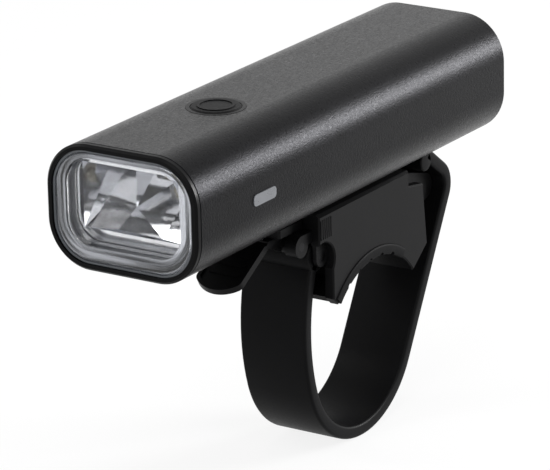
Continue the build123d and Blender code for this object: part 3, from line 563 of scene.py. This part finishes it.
        # The window lets most light straight through, so what lies behind it is lit.
        solid = add_node(tree, "ShaderNodeMapRange",
                         {"Value": rim.outputs[0], "To Min": window_alpha})
        ripple = add_node(tree, "ShaderNodeTexNoise",
                          {"Vector": place, "Scale": 1 / ripple_width, "Detail": 2.0})
        bump = add_node(tree, "ShaderNodeBump",
                        {"Height": ripple.outputs[0], "Distance": ripple_height})
        # The rim is tinted greyer than the window, and its skirt greyer still: painted shade for
        # the dimmer light round the window's edge and in the skirt beside the bezel.
        rim_shade = add_node(tree, "ShaderNodeMix",
                        {"Factor": skirt.outputs[0], 6: linear("#bfc2c9"),
                         7: linear("#3a3c40")}, data_type="RGBA")
        tint = add_node(tree, "ShaderNodeMix",
                        {"Factor": rim.outputs[0], 6: linear("#f2f4f8"),
                         7: rim_shade.outputs[2]}, data_type="RGBA")
        surface = add_node(tree, "ShaderNodeBsdfPrincipled",
                           {"Base Color": tint.outputs[2], "Roughness": 0.03, "IOR": 1.586,
                            "Transmission Weight": clear.outputs[0], "Alpha": solid.outputs[0],
                            "Normal": bump.outputs[0]})
        add_node(tree, "ShaderNodeOutputMaterial", {"Surface": surface.outputs[0]})
        return material


class HEADLIGHT_OT_controls(bpy.types.Operator):
    """Finishes the power button, its ring and the side windows"""
    bl_idname = "headlight.controls"
    bl_label = "Button and windows"

    def execute(self, context):
        colours = context.scene.headlight_colours
        # Silicone rubber, moulded matt: soft black with a dusty sheen.
        dress(textured("Matt moulded button rubber", colours.rubber, 0.5 * MM, 0.02 * MM,
                       0.5, mottle=0.3, **{"Specular IOR Level": 0.1}), "power_button")
        # Acetal, moulded: smooth and black with a soft gloss.
        dress(textured("Moulded black acetal", colours.bezel, 0.5 * MM, 0.003 * MM, 0.3,
                       mottle=0.05, **{"Specular IOR Level": 0.08}), "button_ring")
        # Diffusing polycarbonate, moulded: milky and even, with a soft gloss. Its grey colour is
        # painted shade, darker than the pale plastic itself.
        dress(textured("Moulded milky polycarbonate in painted shade", colours.milky_in_shade, 2.5 * MM,
                       0.0005 * MM, 0.3, mottle=0.06, IOR=1.586), "side_windows")
        return {"FINISHED"}


class HEADLIGHT_OT_inside(bpy.types.Operator):
    """Finishes the boards, the switch, the battery and the charging socket"""
    bl_idname = "headlight.inside"
    bl_label = "Inside"

    def execute(self, context):
        # Glass-epoxy board under green solder mask: glossy and faintly uneven.
        dress(textured("Printed green solder mask", linear("#1f5a35"), 0.5 * MM, 0.01 * MM, 0.28,
                       mottle=0.2), "driver_board", "charge_board")
        # Stainless steel, stamped to the cans of switch and socket: dull bright metal.
        dress(textured("Stamped stainless steel", linear("#b9bbbd"), 0.3 * MM,
                       0.006 * MM, 0.3, Metallic=1.0), "power_switch", "usb_socket")
        # Epoxy, cast clear round a diode: pale, glossy and half see-through.
        dress(textured("Cast clear epoxy", linear("#e9efe9"), 0.3 * MM, 0.002 * MM, 0.12,
                       mottle=0.02, **{"Transmission Weight": 0.6}), "indicator_leds")
        # Heat-shrunk PVC sleeve: smooth, slightly rippled and glossy.
        dress(textured("Heat-shrunk PVC sleeve", linear("#2f6ea8"), 1.5 * MM, 0.03 * MM,
                       0.25, mottle=0.06), "battery_cell")
        # Nylon, moulded: plain matt black.
        dress(textured("Moulded black nylon", linear("#3f3f42"), 0.4 * MM, 0.008 * MM,
                       0.45), "battery_cradle")
        # Nickel-plated steel strip: warm bright metal.
        dress(textured("Nickel-plated steel", linear("#cfcbc2"), 0.3 * MM, 0.004 * MM, 0.28,
                       Metallic=1.0), "battery_tabs")
        return {"FINISHED"}


class HEADLIGHT_OT_fasteners(bpy.types.Operator):
    """Finishes the screws, the pins and the latch spring"""
    bl_idname = "headlight.fasteners"
    bl_label = "Fasteners"

    def execute(self, context):
        # Black oxide on alloy steel: dark, slightly oily sheen.
        dress(textured("Black oxide screw steel", linear("#262629"), 0.2 * MM, 0.006 * MM,
                       0.38, mottle=0.15, Metallic=1.0),
              "cap_screws", "rail_screws", "latch_screw")
        # Ground steel under black oxide: darker and smoother than the screws.
        dress(textured("Black oxide ground pin", linear("#161618"), 0.15 * MM,
                       0.002 * MM, 0.3, Metallic=1.0), "lever_pin", "strap_pin")
        # Rolled spring steel, polished by the mill.
        dress(textured("Rolled spring steel", linear("#aeb0b2"), 0.3 * MM, 0.004 * MM,
                       0.24, Metallic=1.0), "latch_spring")
        return {"FINISHED"}


class HEADLIGHT_OT_bracket(bpy.types.Operator):
    """Finishes the bracket, the slide rail, the lever and the port cover"""
    bl_idname = "headlight.bracket"
    bl_label = "Bracket"

    def execute(self, context):
        colours = context.scene.headlight_colours
        # Glass-filled nylon, moulded in an eroded tool: fine even texture, soft sheen.
        # The tool's grain is about 0.06 mm; it is drawn at 0.25 mm to show.
        nylon = textured("Moulded glass-filled nylon", colours.nylon, 0.25 * MM,
                         0.010 * MM, 0.46, mottle=0.2, IOR=1.53,
                         **{"Specular IOR Level": 0.07})
        dress(nylon, "bracket_body", "mount_rail")
        # Nylon, moulded in a finer tool: a little smoother than the bracket.
        dress(textured("Moulded satin nylon", colours.nylon, 0.3 * MM, 0.008 * MM, 0.36,
                       mottle=0.15, IOR=1.53, **{"Specular IOR Level": 0.07}), "release_lever")
        # Synthetic rubber, moulded: dull black.
        dress(textured("Moulded cover rubber", colours.rubber, 0.3 * MM, 0.012 * MM, 0.5,
                       mottle=0.15, **{"Specular IOR Level": 0.15}),
              "port_cover")
        return {"FINISHED"}


class HEADLIGHT_OT_saddle_pad(bpy.types.Operator):
    """Models the rubber pad inside the bracket's saddle"""
    bl_idname = "headlight.saddle_pad"
    bl_label = "Saddle pad"

    def execute(self, context):
        sizes = context.scene.headlight_sizes
        colours = context.scene.headlight_colours
        middle = sizes.clamp_radius + sizes.pad_thickness / 2
        # Degrees from +Y towards +Z at which the pad starts and ends.
        start, end = 56.0, 137.0
        # The pad is a little thinner than its seat, so that their faces don't fight.
        fit_gap = 0.04 * MM
        edge_radius = 0.35 * MM
        grooves = 5
        pad = start_section("pad_rubber", sizes.pad_width, sizes.pad_thickness - fit_gap,
                            edge_radius, side_point(middle, start), start)
        sweep_turn((0, 0, 0), end - start, steps=54)
        close_shell()
        # The grip grooves run along X, as on the CAD pad.
        for groove in range(grooves):
            share = (groove + 1) / (grooves + 1)
            place = side_point(sizes.clamp_radius, start + (end - start) * share)
            cut_away(pad, rod_across("groove", sizes.pad_groove, 2 * sizes.pad_width,
                                     place.y, place.z, sides=24))
        smooth(pad)
        # Styrene-butadiene rubber, moulded: dull black, slightly mottled.
        rubber = textured("Moulded pad rubber", colours.rubber, 0.35 * MM, 0.015 * MM,
                          0.55, mottle=0.25, **{"Specular IOR Level": 0.06})
        finish_piece(pad, rubber, "bracket", "saddle_pad")
        return {"FINISHED"}


class HEADLIGHT_OT_strap(bpy.types.Operator):
    """Models the silicone strap from its front pin round the clamp to its rear hook"""
    bl_idname = "headlight.strap"
    bl_label = "Strap"

    def execute(self, context):
        sizes = context.scene.headlight_sizes
        colours = context.scene.headlight_colours
        middle = sizes.clamp_radius + sizes.strap_thickness / 2
        # Degrees from +Y towards +Z at which the strap meets and leaves the clamp's
        # circle, and how far it turns round its nose.
        front_angle, rear_angle, nose_turn = 198.0, -28.5, 81.5
        # From the circle to the pin it bends outwards in a wide arc.
        front_radius = 36.0 * MM
        barrel_z, barrel_radius = 20.3 * MM, 3.0 * MM
        bead_radius = 1.9 * MM
        end_rounding = 0.4 * MM
        front_centre = side_point(front_radius - middle, front_angle - 180)
        rise = (barrel_z - front_centre.z) / front_radius
        barrel_y = front_centre.y - front_radius * sqrt(1 - rise ** 2)
        barrel_angle = 180 - degrees(asin(rise))
        strap = start_section("strap_silicone", sizes.strap_width, sizes.strap_thickness,
                              sizes.strap_edge, (0.0, barrel_y, barrel_z), barrel_angle)
        sweep_turn(front_centre, front_angle - barrel_angle, steps=14)
        sweep_turn((0, 0, 0), 360 + rear_angle - front_angle, steps=56)
        nose_radius = sizes.strap_nose + sizes.strap_thickness / 2
        along = side_point(1.0, rear_angle + 90)
        sweep_run(along * sizes.strap_run, steps=12)
        nose_centre = side_point(middle - nose_radius, rear_angle) + along * sizes.strap_run
        sweep_turn(nose_centre, nose_turn, steps=18)
        tail_angle = rear_angle + nose_turn
        tail = side_point(1.0, tail_angle + 90) * sizes.strap_tail
        sweep_run(tail, steps=4)
        close_shell()
        # A bead on the inner side of the tail's end sits in the hook arm's groove.
        tail_end = nose_centre + side_point(nose_radius, tail_angle) + tail
        bead_place = tail_end - side_point(bead_radius - sizes.strap_thickness / 4,
                                           tail_angle)
        bead = rod_across("bead", bead_radius, sizes.strap_width,
                          bead_place.y, bead_place.z)
        soften(bead, end_rounding, segments=4)
        barrel = rod_across("barrel", barrel_radius, sizes.strap_width,
                            barrel_y, barrel_z, sides=64)
        soften(barrel, end_rounding, segments=4)
        strap = join(strap, bead, barrel)
        smooth(strap)
        # Silicone rubber, compression moulded: satin black with a soft sheen.
        silicone = textured("Moulded silicone strap", colours.silicone, 0.4 * MM,
                            0.008 * MM, 0.44, mottle=0.12, IOR=1.43,
                            **{"Specular IOR Level": 0.07})
        finish_piece(strap, silicone, "bracket", "strap")
        return {"FINISHED"}


class HEADLIGHT_PT_panel(bpy.types.Panel):
    """Lists the headlight's settings and the steps that make it"""
    bl_idname = "HEADLIGHT_PT_panel"
    bl_label = "Bicycle Headlight"
    bl_space_type = "VIEW_3D"
    bl_region_type = "UI"
    bl_category = "Headlight"

    def draw(self, context):
        column = self.layout.column(align=True)
        for operator in operators:
            column.operator(operator.bl_idname)
        for group in (context.scene.headlight_sizes, context.scene.headlight_colours,
                      context.scene.headlight_studio):
            box = self.layout.box()
            for name in group.bl_rna.properties.keys():
                if name not in ("rna_type", "name"):
                    box.prop(group, name)


groups = (HeadlightSizes, HeadlightColours, HeadlightStudio)
operators = (
    HEADLIGHT_OT_stage,
    HEADLIGHT_OT_housing,
    HEADLIGHT_OT_optics,
    HEADLIGHT_OT_controls,
    HEADLIGHT_OT_inside,
    HEADLIGHT_OT_fasteners,
    HEADLIGHT_OT_bracket,
    HEADLIGHT_OT_saddle_pad,
    HEADLIGHT_OT_strap,
)


def register():
    """Registers the settings, the operators and the panel."""
    for item in (*groups, *operators, HEADLIGHT_PT_panel):
        bpy.utils.register_class(item)
    bpy.types.Scene.headlight_sizes = bpy.props.PointerProperty(type=HeadlightSizes)
    bpy.types.Scene.headlight_colours = bpy.props.PointerProperty(type=HeadlightColours)
    bpy.types.Scene.headlight_studio = bpy.props.PointerProperty(type=HeadlightStudio)


def unregister():
    """Takes them away again."""
    del bpy.types.Scene.headlight_sizes
    del bpy.types.Scene.headlight_colours
    del bpy.types.Scene.headlight_studio
    for item in reversed((*groups, *operators, HEADLIGHT_PT_panel)):
        bpy.utils.unregister_class(item)


def main():
    """Makes the whole scene."""
    register()
    bpy.ops.headlight.stage()
    bpy.ops.headlight.housing()
    bpy.ops.headlight.optics()
    bpy.ops.headlight.controls()
    bpy.ops.headlight.inside()
    bpy.ops.headlight.fasteners()
    bpy.ops.headlight.bracket()
    bpy.ops.headlight.saddle_pad()
    bpy.ops.headlight.strap()
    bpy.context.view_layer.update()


if __name__ == "__main__":
    main()
